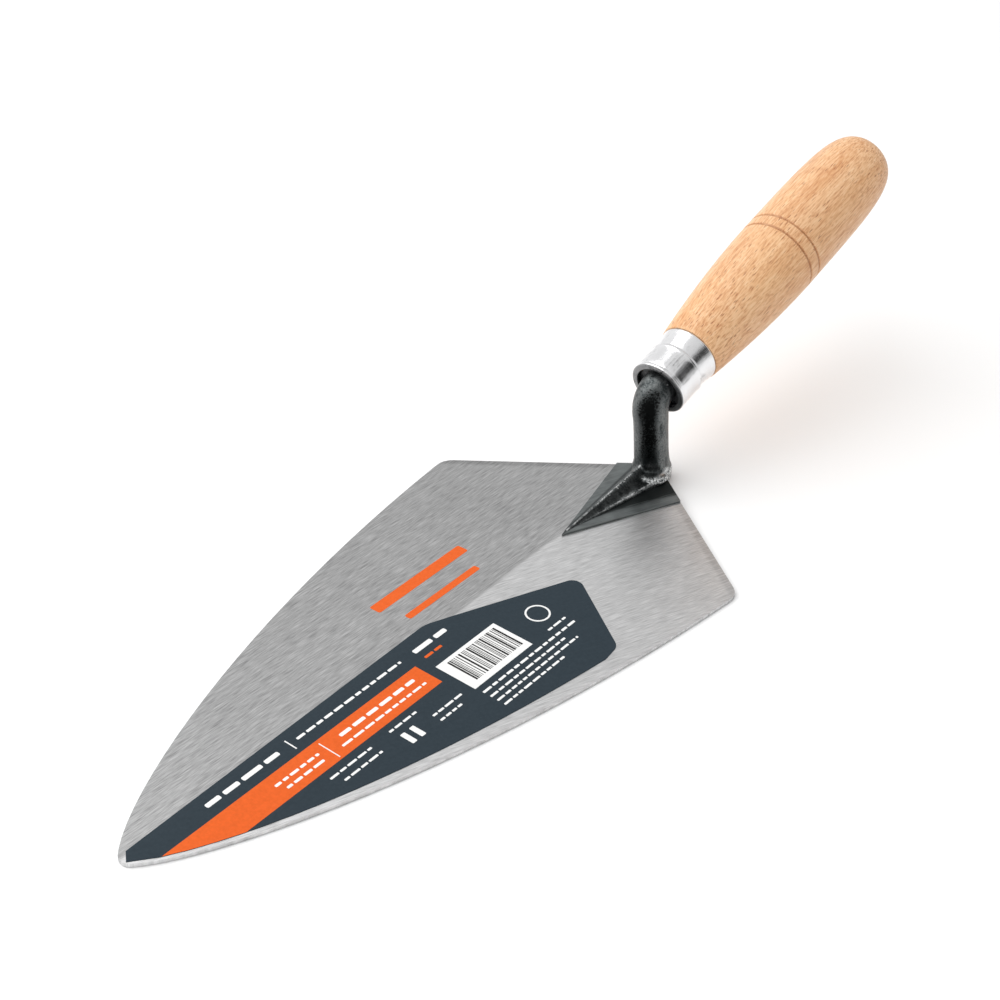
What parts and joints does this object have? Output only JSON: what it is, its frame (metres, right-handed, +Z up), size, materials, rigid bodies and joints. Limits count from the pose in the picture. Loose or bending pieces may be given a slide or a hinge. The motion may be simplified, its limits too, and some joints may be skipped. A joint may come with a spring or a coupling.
{
  "type": "brick trowel",
  "caption": "Pointed flat forged blade with a black ribbed heel, bent neck, crimped ferrule and turned wooden handle, with a printed film on one half of the blade.",
  "frame": {"origin": "on the blade's flat underside, on the centreline, halfway between the tip and the heel's point", "axes": "+Y along the centreline from the tip to the handle, +Z up out of the blade's upper face, +X to the right of the tip-to-handle direction seen from above"},
  "size_m": [0.1366, 0.4187, 0.0949],
  "materials": {
    "ground_steel": "ground facets with fine straight grain, polished underside",
    "forge_black": "black forge scale under clear lacquer",
    "plated_sheet": "bright plating with fine drawing marks",
    "black_resin": "cast black resin",
    "beech": "satin varnish on turned beech",
    "label_film": "printed film with a satin surface"
  },
  "bodies": {
    "root": {"blade": "ground_steel", "heel": "forge_black", "neck": "forge_black", "tang": "forge_black", "ferrule": "plated_sheet", "tang_fill": "black_resin", "handle": "beech", "label": "label_film"}
  },
  "joints": []
}
